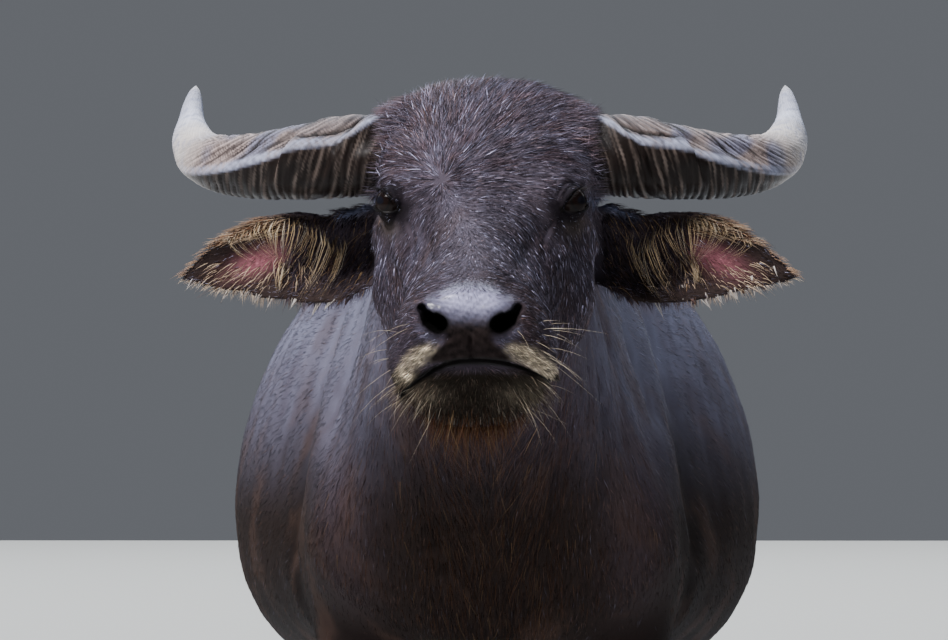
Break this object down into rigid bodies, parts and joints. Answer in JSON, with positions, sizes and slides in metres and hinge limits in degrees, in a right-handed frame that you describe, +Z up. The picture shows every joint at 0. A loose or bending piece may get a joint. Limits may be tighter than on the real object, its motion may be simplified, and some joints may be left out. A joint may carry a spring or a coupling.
{
  "type": "water buffalo",
  "caption": "Standing water buffalo, head forward, with swept-back horns, drooping ears, a round barrel and cloven hooves, as a still life-size model.",
  "frame": {"origin": "middle of the bounding box in plan, at floor level under the hooves", "axes": "+Z up, -Y is the way the animal faces, +X is the animal's left side"},
  "size_m": [0.7624, 2.4824, 1.3608],
  "materials": {
    "hide": "matt dark grey skin under a thin lying coat",
    "coat": "short dark brown hair, golden at the ears and rust at the beard",
    "horn": "weathered keratin, ringed at the root and smooth at the tip",
    "hoof": "dull dark keratin with growth lines",
    "eye": "wet, dark brown and glossy"
  },
  "bodies": {
    "root": {"claw_fore_left_inner": "hoof", "claw_fore_left_outer": "hoof", "claw_fore_right_inner": "hoof", "claw_fore_right_outer": "hoof", "claw_hind_left_inner": "hoof", "claw_hind_left_outer": "hoof", "claw_hind_right_inner": "hoof", "claw_hind_right_outer": "hoof", "dewclaw_fore_left_inner": "hoof", "dewclaw_fore_left_outer": "hoof", "dewclaw_fore_right_inner": "hoof", "dewclaw_fore_right_outer": "hoof", "dewclaw_hind_left_inner": "hoof", "dewclaw_hind_left_outer": "hoof", "dewclaw_hind_right_inner": "hoof", "dewclaw_hind_right_outer": "hoof", "ear_left": "hide", "ear_right": "hide", "eye_left": "eye", "eye_right": "eye", "foreleg_left": "hide", "foreleg_right": "hide", "head": "hide", "hindleg_left": "hide", "hindleg_right": "hide", "horn_left": "horn", "horn_right": "horn", "jaw": "hide", "neck": "hide", "tail": "hide", "tail_switch": "coat", "trunk": "hide"}
  },
  "joints": []
}
